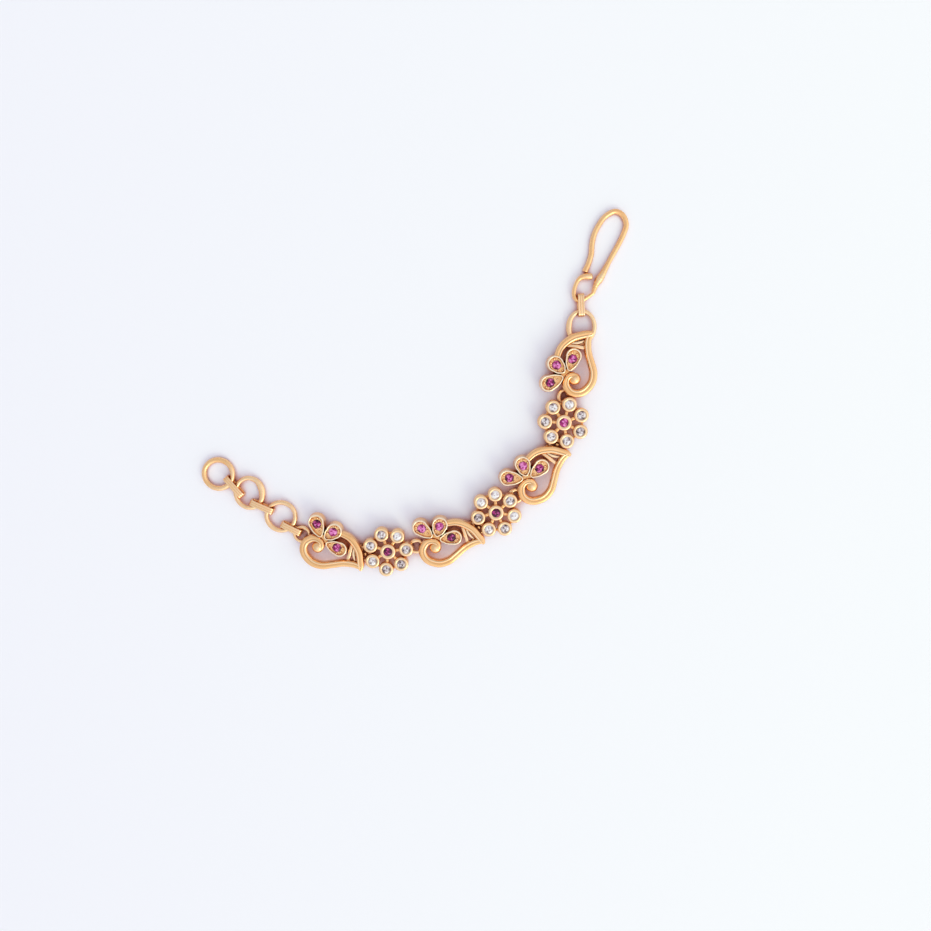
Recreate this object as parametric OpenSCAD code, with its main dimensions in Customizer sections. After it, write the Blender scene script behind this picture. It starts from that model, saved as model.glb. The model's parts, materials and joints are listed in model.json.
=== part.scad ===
// Ear chain of seven linked motifs, laid flat on a table, with a hook at one end
// and three extension rings at the other. Up is +Z and the table top is at z = 0.

/* [Motifs] */
// Height of the underside of every motif above the table
motif_base = 1.5; // [1.5:0.05:1.8]
// Height of the crest of the paisley band
band_top = 3.1; // [2.8:0.05:3.4]
// Height of the rim of a petal
petal_top = 3.6; // [3.4:0.05:4]
// Height of the floor inside a petal
petal_floor = 2.95; // [2.7:0.05:3.1]
// Width of the rim round a petal
petal_rim = 0.3; // [0.25:0.05:0.4]
// Height of the rim of a flower collet
collet_top = 3.2; // [3:0.05:3.5]
// Outer radius of a flower collet
collet_r = 1.65; // [1.55:0.01:1.7]
// Radius of the circle that the outer collets stand on
flower_r = 4.1; // [4.05:0.01:4.12]

/* [Stones] */
// Radius of a clear stone
clear_r = 1; // [0.9:0.01:1.05]
// Radius of a petal ruby
ruby_r = 0.95; // [0.85:0.01:1]
// Gap all round between a stone and its seat
stone_gap = 0.06; // [0.05:0.01:0.1]
// Depth of a clear stone's girdle below the rim of its collet
clear_sink = 0.25; // [0.15:0.01:0.3]
// Depth of a flower ruby's girdle below the rim of its collet
ruby_sink = 0.15; // [0.1:0.01:0.3]

/* [Links] */
// Thickness of the strip that bails and strip links are bent from
strip_t = 0.4; // [0.35:0.01:0.4]
// Width of a bail
bail_w = 0.6; // [0.5:0.05:0.65]
// Wire radius of a jump ring
jump_wire = 0.35; // [0.3:0.01:0.35]
// Centre-line radius of a jump ring
jump_r = 1.4; // [1.35:0.01:1.4]
// Centre-line radius of the wider jump ring next to the extension rings
wide_jump_r = 1.65; // [1.6:0.01:1.68]
// Wire radius of the two inner extension rings
ring_wire = 0.5; // [0.45:0.01:0.5]
// Width of a strip link
link_w = 1.35; // [1.2:0.05:1.45]
// Outer height of a strip link
link_h = 2.05; // [2.04:0.01:2.1]

/* [Hidden] */
PAISLEYS = 4;
PETALS = 3;
FLOWERS = 3;
OUTER_COLLETS = 7;
EXTENSION_RINGS = 3;
STRIP_LINKS = 4;
JUMP_RINGS = 7;
gold = "#d9a24a";
ruby_red = "#b3206b";
clear_white = "#e6e9ee";
step = 360 / OUTER_COLLETS;
small_gap = 0.08;
end_ring_wire = ring_wire + 0.06;
middle_collet_r = collet_r - 0.1;
middle_collet_top = collet_top + 0.1;

// Where each paisley's scroll stands, which way its tip points and how far it is drawn out: x, y, turn, reach
paisley_rows = [
    [-20.75, -33.13, -30, 1],
    [5.43, -33.11, 4.5, 1],
    [26.64, -19.12, 39.1, 1],
    [35.44, 4.38, 68.2, 0.955],
];

// Where each flower stands and how far its first collet is turned: x, y, turn
flower_rows = [
    [-5.34, -34.21, 6.9],
    [18.76, -25.35, 41.6],
    [33.42, -5.31, 22.9],
];

// Petals of a paisley: apex u, apex v, direction, reach to the round end, its radius, place of the ruby
petal_rows = [
    [-0.65, 2.35, 137, 3.45, 1.75, 3.0],
    [0.3, 2.4, 69, 2.75, 1.75, 2.35],
    [0.95, 1.7, 4, 3.3, 1.68, 2.65],
];

// Upper arc of the paisley band, from under the second petal to the tip: u, v, half width, top
arc_rows = [
    [2.6, 5.0, 0.7, band_top],
    [4.7, 5.15, 0.75, band_top],
    [6.55, 4.6, 0.77, band_top],
    [8.36, 3.4, 0.77, band_top],
    [9.75, 1.75, 0.74, band_top],
    [10.45, 0.7, 0.6, band_top],
    [10.85, -0.15, 0.16, band_top - 0.1],
];

// Lower band from the tip back round the end and into the scroll: u, v, half width, top
scroll_rows = [
    [10.7, 0.1, 0.2, band_top - 0.1],
    [9.7, 0.3, 0.58, band_top],
    [8.4, 0.13, 0.72, band_top],
    [6.4, -0.75, 0.75, band_top],
    [4.4, -2.24, 0.78, band_top],
    [2.6, -3.5, 0.8, band_top],
    [0.44, -3.96, 0.8, band_top],
    [-1.65, -3.3, 0.78, band_top],
    [-2.84, -2.1, 0.76, band_top],
    [-3.15, -0.5, 0.75, band_top],
    [-2.1, 0.92, 0.68, band_top],
    [-0.4, 1.3, 0.58, band_top + 0.1],
    [0.85, 0.7, 0.52, band_top + 0.2],
    [1.05, -0.46, 0.5, band_top + 0.2],
    [0.3, -1.25, 0.46, band_top + 0.15],
    [-0.6, -1.0, 0.4, band_top + 0.1],
];

// Half section of the band: share of the half width, share of the height
band_section = [[-1, 0], [1, 0], [1, 0.6], [0.72, 0.9], [0, 1], [-0.72, 0.9], [-1, 0.6]];

// The bail under a paisley's round end and the one under its tip: u, v, direction away from the ring, opening
round_bail = [-3.15, -0.36, -15, 2 * jump_wire + 0.2];
tip_bail = [8.36, 3.99, 132, 2 * jump_wire + 0.2];

// Oval ring at the hook end: centre, half width and half height of its centre line, wire radius, height
oval_at = [37.05, 15.22];
oval_half = [2.82, 3.37];
oval_wire = 0.47;
oval_z = 0.95;
oval_bail = [7.86, 3.73, 147, 2 * oval_wire + 0.32];

// Extension rings: x, y, half width, half height of the centre line, wire radius
ring_rows = [
    [-42.96, -17.0, 3.22, 3.22, end_ring_wire],
    [-36.2, -21.24, 2.97, 3.35, ring_wire],
    [-29.35, -26.61, 3.15, 3.15, ring_wire],
];
ring_z = 1.0;

// The end ring rests its free side on the table: its tilt, the way it tilts and how far its centre drops
end_ring_tilt = 3.9;
end_ring_way = -40;
end_ring_drop = 0.19;

// Strip links: x, y and turn of the middle, outer length
link_rows = [
    [-39.47, -19.83, -50.3, 5.75],
    [-33.48, -24.32, -24.2, 5.7],
    [-27.05, -29.3, -26.7, 5.1],
    [36.81, 19.86, 93.3, 4.95],
];

// The ear hook's wire from the cut end of its eye to its free tip: x, y, z, wire radius
hook_rows = [
    [38.8, 25.89, 1.0, 0.45],
    [37.6, 25.91, 1.0, 0.46],
    [36.55, 25.5, 1.0, 0.46],
    [35.8, 24.55, 1.0, 0.46],
    [35.34, 23.08, 1.0, 0.46],
    [35.37, 21.8, 1.0, 0.46],
    [36.0, 20.95, 1.0, 0.46],
    [37.0, 20.8, 1.0, 0.46],
    [38.1, 21.4, 1.0, 0.47],
    [39.05, 22.3, 1.0, 0.58],
    [39.85, 23.8, 0.95, 0.74],
    [41.0, 26.05, 0.9, 0.86],
    [42.25, 28.35, 0.78, 0.7],
    [43.35, 30.43, 0.6, 0.59],
    [44.62, 32.67, 0.58, 0.58],
    [45.64, 34.77, 0.58, 0.58],
    [46.15, 36.7, 0.58, 0.58],
    [45.35, 38.6, 0.58, 0.58],
    [43.59, 39.36, 0.58, 0.58],
    [41.47, 38.18, 0.58, 0.58],
    [40.1, 36.48, 0.58, 0.58],
    [39.27, 34.65, 0.58, 0.58],
    [38.88, 32.54, 0.58, 0.58],
    [38.85, 30.56, 0.6, 0.58],
    [38.2, 28.56, 0.65, 0.58],
    [37.55, 27.2, 0.7, 0.6],
];

// Plane vectors
function along(turn) = [cos(turn), sin(turn)];
function turned(p, turn) = [p[0] * cos(turn) - p[1] * sin(turn), p[0] * sin(turn) + p[1] * cos(turn)];
function xy(row) = [row[0], row[1]];
function on_paisley(row, p) = xy(row) + turned(p, row[2]);
function heading(v) = atan2(v[1], v[0]);

// Rows of a band with everything beyond the scroll drawn out along u
function drawn_out(rows, reach) = [for (r = rows) [r[0] > 0 ? r[0] * reach : r[0], r[1], r[2], r[3]]];

// A smooth row between rows b and c of a table, at share t of the way
function between(a, b, c, d, t) =
    0.5 * (2 * b + (c - a) * t + (2 * a - 5 * b + 4 * c - d) * t * t + (3 * b - 3 * c + d - a) * t * t * t);
function row_at(rows, i) = rows[min(max(i, 0), len(rows) - 1)];
function smooth(rows, steps) = concat(
    [for (i = [0:len(rows) - 2]) for (k = [0:steps - 1])
        between(row_at(rows, i - 1), rows[i], rows[i + 1], row_at(rows, i + 2), k / steps)],
    [rows[len(rows) - 1]]
);

// Direction of travel at row i of a path
function travel(rows, i, dims) =
    let (d = row_at(rows, i + 1) - row_at(rows, i - 1))
    let (v = [for (k = [0:dims - 1]) d[k]])
    v / norm(v);

// One cross-section of the paisley band
function band_ring(rows, i) =
    let (t = travel(rows, i, 2), side = [t[1], -t[0]], r = rows[i])
    [for (s = band_section)
        let (p = xy(r) + side * s[0] * r[2])
        [p[0], p[1], motif_base + s[1] * (r[3] - motif_base)]];

// One cross-section of a round wire
function wire_ring(rows, i, sides) =
    let (t = travel(rows, i, 3), side = cross(t, [0, 0, 1]) / norm(cross(t, [0, 0, 1])), up = cross(side, t))
    [for (k = [0:sides - 1])
        let (a = 360 * k / sides)
        [rows[i][0], rows[i][1], rows[i][2]] + rows[i][3] * (cos(a) * side + sin(a) * up)];

// Corner points of a rectangle with rounded corners, centred
function rounded(w, h, r, steps) = [
    for (c = [[1, 1, 0], [-1, 1, 90], [-1, -1, 180], [1, -1, 270]]) for (k = [0:steps])
        [c[0] * (w / 2 - r), c[1] * (h / 2 - r)] + r * along(c[2] + 90 * k / steps)
];

// A skin over cross-sections with equal numbers of points, closed at its ends or joined up
module skin(rings, joined = false) {
    n = len(rings[0]);
    m = len(rings);
    last = joined ? m - 1 : m - 2;
    walls = [for (i = [0:last]) for (k = [0:n - 1])
        let (a = i * n + k, b = i * n + (k + 1) % n)
        let (c = ((i + 1) % m) * n + k, d = ((i + 1) % m) * n + (k + 1) % n)
        each [[a, d, c], [a, b, d]]];
    ends = joined ? [] : [[for (k = [n - 1:-1:0]) k], [for (k = [0:n - 1]) (m - 1) * n + k]];
    polyhedron(points = [for (r = rings) each r], faces = concat(walls, ends), convexity = 6);
}

// A window frame of strip that stands on the table under a motif and holds a ring
module bail(p, turn, opening) {
    length = opening + 2 * strip_t;
    window_top = motif_base + 0.05;
    head = window_top + strip_t;
    translate([p[0], p[1], 0]) rotate([0, 0, turn]) difference() {
        translate([-length / 2, -bail_w / 2, 0]) cube([length, bail_w, head]);
        translate([-opening / 2, -bail_w, strip_t]) cube([opening, 2 * bail_w, window_top - strip_t]);
    }
}

module band_sweep(rows, steps) {
    path = smooth(rows, steps);
    skin([for (i = [0:len(path) - 1]) band_ring(path, i)]);
}

// A petal's outline from its apex to its round end, inset and raised as told
module petal_block(row, inset, low, high) {
    tip_r = 0.42;
    apex = xy(row) + along(row[2]) * tip_r;
    end = xy(row) + along(row[2]) * row[3];
    hull() {
        translate([apex[0], apex[1], low]) cylinder(r = tip_r - inset * 0.8, h = high - low, $fn = 8);
        translate([end[0], end[1], low]) cylinder(r = row[4] - inset, h = high - low, $fn = 20);
    }
}

// Three petals, each a rim round a sunk floor with a drilled seat for its ruby
module petals() {
    seat_depth = 0.35;
    drill_r = ruby_r * 0.78;
    shoulder = 0.15;
    crest = 0.12;
    for (row = petal_rows) {
        hole = xy(row) + along(row[2]) * row[5];
        difference() {
            union() {
                petal_block(row, 0, motif_base, petal_top - shoulder);
                petal_block(row, crest, petal_floor, petal_top);
            }
            petal_block(row, petal_rim, petal_floor, petal_top + 1);
            translate([hole[0], hole[1], petal_floor - seat_depth])
                cylinder(r = ruby_r + stone_gap, h = 1, $fn = 20);
            translate([hole[0], hole[1], 0]) cylinder(r = drill_r, h = petal_top, $fn = 16);
        }
    }
}

// The floor and the bulb inside the scroll's curl
module curl() {
    bulb = [-0.75, -0.3];
    bulb_r = 0.6;
    translate([0, -0.15, motif_base]) cylinder(r = 1.25, h = 1, $fn = 16);
    translate([bulb[0], bulb[1], motif_base]) cylinder(r = bulb_r, h = band_top - motif_base, $fn = 12);
    translate([bulb[0], bulb[1], band_top - 0.1]) sphere(r = bulb_r - 0.05, $fn = 10);
}

// A low strip across the inside of the band, and the knuckle where the petals meet the scroll
module braces(reach) {
    strip = [0.85, 5.6, 0.6];
    strip_at = [6.5 * reach - strip[0] / 2, -1, motif_base + 0.1];
    knuckle = [0.15, 2.05, motif_base];
    translate(strip_at) cube(strip);
    translate(knuckle) cylinder(r = 0.95, h = 1.1, $fn = 14);
}

// A paisley with its scroll, petals, braces and the bails under it
module paisley(i) {
    row = paisley_rows[i];
    at_tip = i == PAISLEYS - 1 ? oval_bail : tip_bail;
    color(gold) translate([row[0], row[1], 0]) rotate([0, 0, row[2]]) union() {
        band_sweep(drawn_out(arc_rows, row[3]), 3);
        band_sweep(drawn_out(scroll_rows, row[3]), 3);
        curl();
        braces(row[3]);
        petals();
        bail(xy(round_bail), round_bail[2], round_bail[3]);
        bail(xy(at_tip), at_tip[2], at_tip[3]);
    }
}

// Centre of a jump ring: odd rings hang from a round end, even ones from a tip
function ring_centre(k) =
    let (row = paisley_rows[floor(k / 2)], b = k % 2 == 0 ? round_bail : tip_bail)
    on_paisley(row, xy(b) - along(b[2]) * (k == 0 ? wide_jump_r : jump_r));

module torus(r, wire) {
    rotate_extrude($fn = 48) translate([r, 0]) circle(r = wire, $fn = 20);
}

module jump_ring(k) {
    c = ring_centre(k);
    color(gold) translate([c[0], c[1], strip_t + small_gap + jump_wire])
        torus(k == 0 ? wide_jump_r : jump_r, jump_wire);
}

// Bails of a flower: one to the ring before it, one to the ring after it
module flower_bail(row, k) {
    v = ring_centre(k) - xy(row);
    p = xy(row) + v * (1 - jump_r / norm(v));
    bail(p, heading(v), 2 * jump_wire + 0.2);
}

// Places of the outer collets of a flower
function collet_at(row, k) = xy(row) + flower_r * along(row[2] + k * step);

module collet(p, r, top) {
    bevel = 0.18;
    translate([p[0], p[1], motif_base]) cylinder(r = r, h = top - motif_base - bevel, $fn = 48);
    translate([p[0], p[1], top - bevel]) cylinder(r1 = r, r2 = r - bevel, h = bevel, $fn = 48);
}

// The step that a stone sits in and the drilled hole under it
module seat(p, top) {
    depth = 0.65;
    drill_r = clear_r * 0.75;
    translate([p[0], p[1], top - depth]) cylinder(r = clear_r + stone_gap, h = depth + 1, $fn = 48);
    translate([p[0], p[1], motif_base - 1]) cylinder(r = drill_r, h = top, $fn = 48);
}

// Spokes from the middle collet out to the others
module spokes() {
    spoke = [2, 0.7, 0.8];
    for (k = [0:OUTER_COLLETS - 1])
        rotate([0, 0, k * step]) translate([1, -spoke[1] / 2, motif_base + 0.2]) cube(spoke);
}

// The low ring of metal that bridges the outer collets
module bridge() {
    inside = flower_r - 0.35;
    outside = flower_r + 0.4;
    translate([0, 0, motif_base + 0.15]) difference() {
        cylinder(r = outside, h = 0.6, $fn = 64);
        translate([0, 0, -1]) cylinder(r = inside, h = 3, $fn = 64);
    }
}

module flower(i) {
    row = flower_rows[i];
    color(gold) {
        difference() {
            union() {
                for (k = [0:OUTER_COLLETS - 1]) collet(collet_at(row, k), collet_r, collet_top);
                collet(xy(row), middle_collet_r, middle_collet_top);
                translate([row[0], row[1], 0]) rotate([0, 0, row[2]]) {
                    spokes();
                    bridge();
                }
            }
            for (k = [0:OUTER_COLLETS - 1]) seat(collet_at(row, k), collet_top);
            seat(xy(row), middle_collet_top);
        }
        flower_bail(row, 2 * i + 1);
        flower_bail(row, 2 * i + 2);
    }
}

// A round brilliant: a table, sloping crown, thin girdle and pointed pavilion, as shares of its radius
module cut_stone(p, r, girdle_z) {
    table = 0.55;
    crown = 0.34;
    girdle = 0.05;
    pavilion = 0.8;
    point = 0.04;
    film = 0.01;
    translate([p[0], p[1], girdle_z]) hull() {
        translate([0, 0, crown * r - film]) cylinder(r = table * r, h = film, $fn = 8);
        rotate([0, 0, 11.25]) cylinder(r = r, h = girdle * r, $fn = 16);
        translate([0, 0, -pavilion * r]) cylinder(r = point, h = film, $fn = 4);
    }
}

module petal_ruby(i) {
    row = paisley_rows[floor(i / PETALS)];
    petal = petal_rows[i % PETALS];
    p = on_paisley(row, xy(petal) + along(petal[2]) * petal[5]);
    color(ruby_red) cut_stone(p, ruby_r, petal_floor + 0.02);
}

module clear_stone(i) {
    row = flower_rows[floor(i / OUTER_COLLETS)];
    color(clear_white) cut_stone(collet_at(row, i % OUTER_COLLETS), clear_r, collet_top - clear_sink);
}

module flower_ruby(i) {
    color(ruby_red) cut_stone(xy(flower_rows[i]), clear_r, middle_collet_top - ruby_sink);
}

// A closed ring of round wire, oval where its two half sizes differ
module wire_loop(half, wire) {
    count = 16;
    sides = 6;
    rows = [for (k = [0:count - 1]) let (a = 360 * k / count) [half[0] * cos(a), half[1] * sin(a), 0, wire]];
    looped = concat([rows[count - 1]], rows, [rows[0]]);
    skin([for (i = [1:count]) wire_ring(looped, i, sides)], true);
}

module extension_ring(i) {
    row = ring_rows[i];
    lean = i == 0 ? end_ring_tilt : 0;
    drop = i == 0 ? end_ring_drop : 0;
    color(gold) translate([row[0], row[1], ring_z - drop]) rotate([0, 0, end_ring_way]) rotate([0, -lean, 0])
        if (row[2] == row[3]) torus(row[2], row[4]);
        else rotate([0, 0, -end_ring_way]) wire_loop([row[2], row[3]], row[4]);
}

module oval_ring() {
    color(gold) translate([oval_at[0], oval_at[1], oval_z]) wire_loop(oval_half, oval_wire);
}

// A flat strip bent round into a closed link that stands on its edge bars
module strip_link(i) {
    row = link_rows[i];
    corner = 0.75;
    color(gold) translate([row[0], row[1], link_h / 2]) rotate([0, 0, row[2]]) rotate([90, 0, 0])
        translate([0, 0, -link_w / 2]) linear_extrude(height = link_w) difference() {
            polygon(rounded(row[3], link_h, corner, 5));
            polygon(rounded(row[3] - 2 * strip_t, link_h - 2 * strip_t, corner - strip_t + 0.05, 4));
        }
}

module ear_hook() {
    path = smooth(hook_rows, 2);
    color(gold) skin([for (i = [0:len(path) - 1]) wire_ring(path, i, 10)]);
}

ear_hook();
oval_ring();
for (i = [0:EXTENSION_RINGS - 1])
    extension_ring(i);
for (i = [0:STRIP_LINKS - 1]) strip_link(i);
for (i = [0:JUMP_RINGS - 1]) jump_ring(i);
for (i = [0:PAISLEYS - 1]) paisley(i);
for (i = [0:FLOWERS - 1]) flower(i);
for (i = [0:PAISLEYS * PETALS - 1]) petal_ruby(i);
for (i = [0:FLOWERS * OUTER_COLLETS - 1])
    clear_stone(i);
for (i = [0:FLOWERS - 1]) flower_ruby(i);
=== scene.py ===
import json
import math
import random

import bmesh
import bpy
from mathutils import Matrix, Vector

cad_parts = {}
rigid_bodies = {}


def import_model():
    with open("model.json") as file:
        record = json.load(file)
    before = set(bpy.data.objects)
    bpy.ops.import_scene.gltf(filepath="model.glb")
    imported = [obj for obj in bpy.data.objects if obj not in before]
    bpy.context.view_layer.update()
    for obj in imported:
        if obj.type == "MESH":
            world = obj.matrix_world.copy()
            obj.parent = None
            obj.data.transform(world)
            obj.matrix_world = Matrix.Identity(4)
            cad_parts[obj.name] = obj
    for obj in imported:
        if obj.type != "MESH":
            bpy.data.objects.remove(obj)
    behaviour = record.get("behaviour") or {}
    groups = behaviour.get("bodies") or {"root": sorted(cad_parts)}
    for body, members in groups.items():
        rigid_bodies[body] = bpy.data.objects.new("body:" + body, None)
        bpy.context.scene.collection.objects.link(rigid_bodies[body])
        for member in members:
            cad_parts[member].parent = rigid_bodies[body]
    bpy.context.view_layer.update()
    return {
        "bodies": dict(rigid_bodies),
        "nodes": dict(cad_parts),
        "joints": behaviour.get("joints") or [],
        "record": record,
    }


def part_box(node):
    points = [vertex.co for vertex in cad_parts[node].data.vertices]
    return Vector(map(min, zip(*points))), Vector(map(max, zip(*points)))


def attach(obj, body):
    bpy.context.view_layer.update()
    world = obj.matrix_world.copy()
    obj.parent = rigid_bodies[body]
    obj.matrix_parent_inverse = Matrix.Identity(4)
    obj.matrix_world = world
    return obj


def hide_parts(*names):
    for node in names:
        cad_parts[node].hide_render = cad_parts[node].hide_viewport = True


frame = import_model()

mm = 0.001
zUp = Vector((0, 0, 1))
print("frame loaded:", len(frame["nodes"]), "nodes")


# Camera and stage

view = {
    "place": (12.0, 12.476, 176.374),   # mm, over the upper middle of the chain
    "lean": -8.92,                      # degrees from straight down
    "sensor": 36.0,
    "focalPx": 800,                     # focal length on a picture 931 px wide
    "picturePx": 931,
    "clip": (0.01, 20),                 # m, nearest and farthest that is drawn
}


def makeCamera():
    data = bpy.data.cameras.new("camera")
    data.sensor_width = view["sensor"]
    data.lens = view["sensor"] * view["focalPx"] / view["picturePx"]
    data.clip_start, data.clip_end = view["clip"]
    camera = bpy.data.objects.new("camera", data)
    camera.location = Vector(view["place"]) * mm
    camera.rotation_euler = (math.radians(view["lean"]), 0, 0)
    bpy.context.scene.collection.objects.link(camera)
    bpy.context.scene.camera = camera


makeCamera()
print("camera placed")


# Material helpers

def newMaterial(name):
    material = bpy.data.materials.new(name)
    material.use_nodes = True
    return material, material.node_tree.nodes, material.node_tree.links


def addNoise(nodes, links, scale, detail, stretch=None):
    place = nodes.new("ShaderNodeTexCoord")
    noise = nodes.new("ShaderNodeTexNoise")
    noise.inputs["Scale"].default_value = scale
    noise.inputs["Detail"].default_value = detail
    source = place.outputs["Object"]
    if stretch:
        mapping = nodes.new("ShaderNodeMapping")
        mapping.inputs["Scale"].default_value = stretch
        links.new(source, mapping.inputs["Vector"])
        source = mapping.outputs["Vector"]
    links.new(source, noise.inputs["Vector"])
    return noise.outputs["Fac"]


def addRange(nodes, links, source, low, high, fromLow=0.3, fromHigh=0.7):
    # a noise lies mostly between 0.3 and 0.7
    spread = nodes.new("ShaderNodeMapRange")
    spread.inputs["From Min"].default_value = fromLow
    spread.inputs["From Max"].default_value = fromHigh
    spread.inputs["To Min"].default_value = low
    spread.inputs["To Max"].default_value = high
    links.new(source, spread.inputs["Value"])
    return spread.outputs["Result"]


def addRamp(nodes, links, source, stops):
    ramp = nodes.new("ShaderNodeValToRGB")
    for k, (place, value) in enumerate(stops):
        stop = ramp.color_ramp.elements[k] if k < 2 else ramp.color_ramp.elements.new(place)
        stop.position = place
        stop.color = value if isinstance(value, tuple) else (value, value, value, 1)
    links.new(source, ramp.inputs["Fac"])
    return ramp.outputs["Color"]


def addMix(nodes, links, factor, first, second, blend="MIX"):
    mix = nodes.new("ShaderNodeMix")
    mix.data_type = "RGBA"
    mix.blend_type = blend
    for name, value in (("Factor", factor), ("A", first), ("B", second)):
        if isinstance(value, bpy.types.NodeSocket):
            links.new(value, mix.inputs[name])
        else:
            mix.inputs[name].default_value = value
    return mix.outputs["Result"]


def addPaintedShading(nodes, links, reach, samples, tints):
    # painted shade or light: a tint by how much open air is within reach (m) of a place
    near = nodes.new("ShaderNodeAmbientOcclusion")
    near.inputs["Distance"].default_value = reach
    near.samples = samples
    return addRamp(nodes, links, near.outputs["AO"], tints)


def addBump(nodes, links, height, strength, depth):
    bump = nodes.new("ShaderNodeBump")
    bump.inputs["Strength"].default_value = strength
    bump.inputs["Distance"].default_value = depth * mm
    links.new(height, bump.inputs["Height"])
    return bump


def readLayer(nodes, name):
    layer = nodes.new("ShaderNodeAttribute")
    layer.attribute_name = name
    return layer.outputs["Fac"]


# Gold

gold = {
    # lighter and deeper shade, of the motifs and of the wire and strip; the wire and strip's gold is painted
    # a little lighter, as painted light
    "motif": ((0.96, 0.60, 0.31, 1), (0.93, 0.51, 0.22, 1)),
    "wire": ((1.0, 0.64, 0.33, 1), (1.0, 0.56, 0.25, 1)),
    "sheenAndBurnish": (0.99, 0.82, 0.60, 1),    # burnished edges, and painted highlight on crests and ridges, where the attribute is 1
    "grooveShadeColour": (0.60, 0.27, 0.09, 1),    # painted shade in the grooves, where the attribute is -1
    # painted shade by how open a place is: red-brown in the crevices, a deeper gold on sunk floors
    "paintedShading": ((0.05, (0.34, 0.14, 0.07, 1)), (0.28, (0.66, 0.48, 0.34, 1)), (0.55, (0.92, 0.84, 0.73, 1)),
                 (0.85, (1, 1, 1, 1))),
    "paintedShadingReach": 0.0009,
    "paintedShadingSamples": 8,
    "roughness": (0.17, 0.30),
    "burnishedShare": 0.6,     # of the roughness, left on burnished places
    # scale and detail of the patches of colour, the changes of shine, the fine grain and the shallow dents
    "patches": (260, 3.0),
    "shine": (900, 5.0),
    "grain": (5200, 2.0),
    "dents": (900, 3.0),
    # strength and depth in mm
    "grainBump": (0.06, 0.02),
    "dentBump": (0.12, 0.2),
}


def makeGold(name, shades, grainStretch=None, roughShift=0.0):
    material, nodes, links = newMaterial(name)
    shader = nodes["Principled BSDF"]
    shader.inputs["Metallic"].default_value = 1.0
    worn = readLayer(nodes, "worn")
    patches = addRange(nodes, links, addNoise(nodes, links, *gold["patches"]), 0.0, 1.0)
    colour = addMix(nodes, links, patches, *gold[shades])
    # painted shade: darker and redder in the crevices and on sunk floors
    shade = addPaintedShading(nodes, links, gold["paintedShadingReach"], gold["paintedShadingSamples"], gold["paintedShading"])
    colour = addMix(nodes, links, 1.0, colour, shade, "MULTIPLY")
    # polish and painted sheen lighten the gold; painted groove shade darkens it
    colour = addMix(nodes, links, worn, colour, gold["sheenAndBurnish"])
    # painted shade in the grooves
    grooveShade = addRange(nodes, links, worn, 1.0, 0.0, -1.0, 0.0)
    colour = addMix(nodes, links, grooveShade, colour, gold["grooveShadeColour"])
    links.new(colour, shader.inputs["Base Color"])
    low, high = (value + roughShift for value in gold["roughness"])
    polishAndSheen = nodes.new("ShaderNodeMath")
    polishAndSheen.operation = "MULTIPLY"
    links.new(addRange(nodes, links, addNoise(nodes, links, *gold["shine"]), low, high), polishAndSheen.inputs[0])
    links.new(addRange(nodes, links, worn, 1.0, gold["burnishedShare"], 0.0, 1.0), polishAndSheen.inputs[1])
    links.new(polishAndSheen.outputs["Value"], shader.inputs["Roughness"])
    grain = addBump(nodes, links, addNoise(nodes, links, *gold["grain"], grainStretch), *gold["grainBump"])
    dents = addBump(nodes, links, addNoise(nodes, links, *gold["dents"]), *gold["dentBump"])
    links.new(grain.outputs["Normal"], dents.inputs["Normal"])
    links.new(dents.outputs["Normal"], shader.inputs["Normal"])
    return material


goldPolish = makeGold("goldPolish", "motif")
goldWire = makeGold("goldWire", "wire", roughShift=0.04)
goldStrip = makeGold("goldStrip", "wire", grainStretch=(1, 1, 6), roughShift=0.06)


# Stones

clearCut = {
    # painted reflections: colours of the facets, from the ones that look into the dark to the ones that
    # flash
    "shades": ((0.0, (0.09, 0.04, 0.04, 1)), (0.5, (0.60, 0.46, 0.50, 1)), (1.0, (1.0, 0.97, 1.0, 1))),
    "roughness": 0.04,
    "ior": 1.9,
    "gloss": 0.5,
    "through": 0.12,
}
rubyCut = {
    # painted reflections on the facets, as for the clear stones
    "shades": ((0.0, (0.07, 0.001, 0.03, 1)), (0.5, (0.50, 0.02, 0.22, 1)), (1.0, (0.92, 0.30, 0.70, 1))),
    "roughness": 0.04,
    "ior": 1.77,
    "gloss": 0.2,
    "through": 0.08,
}


def makeStone(name, stone):
    material, nodes, links = newMaterial(name)
    shader = nodes["Principled BSDF"]
    colour = addRamp(nodes, links, readLayer(nodes, "facet"), stone["shades"])
    links.new(colour, shader.inputs["Base Color"])
    shader.inputs["Roughness"].default_value = stone["roughness"]
    shader.inputs["IOR"].default_value = stone["ior"]
    shader.inputs["Specular IOR Level"].default_value = stone["gloss"]
    shader.inputs["Transmission Weight"].default_value = stone["through"]
    return material


clearStone = makeStone("clearStone", clearCut)
rubyStone = makeStone("rubyStone", rubyCut)
print("materials made")


# Modelling helpers

def along(turn):
    return Vector((math.cos(math.radians(turn)), math.sin(math.radians(turn)), 0))


def rotation(degrees, axis="Z"):
    return Matrix.Rotation(math.radians(degrees), 4, axis)


def shareOf(value, low, high):
    return min(max((value - low) / (high - low), 0), 1)


def nearness(turn, place, spread):
    # 1 at one place round a ring, fading over some degrees to either side
    apart = (turn - place + 180) % 360 - 180
    return math.exp(-(apart / spread) ** 2)


# polish with painted sheen on tight edges near a piece's top, and painted sheen on every piece's crest
wearAndSheen = {
    "from": 2.9, "to": 6.5,   # tightness of an edge's curve, per mm, where polish and painted sheen start and are full
    "depth": 0.8,             # mm below a piece's top where it has faded out
    "crest": 0.25,            # mm below the top down to which everything gets a little painted sheen
    "crestFull": 0.12,        # and down to which it gets painted sheen fully
    "closest": 0.001,         # mm between two faces' middles, under which their edge isn't looked at
    # share of the polish and painted sheen that a kind of piece gets
    "onWire": 0.35,
    "onStrip": 0.4,
    "onFlower": 0.45,
}


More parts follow.
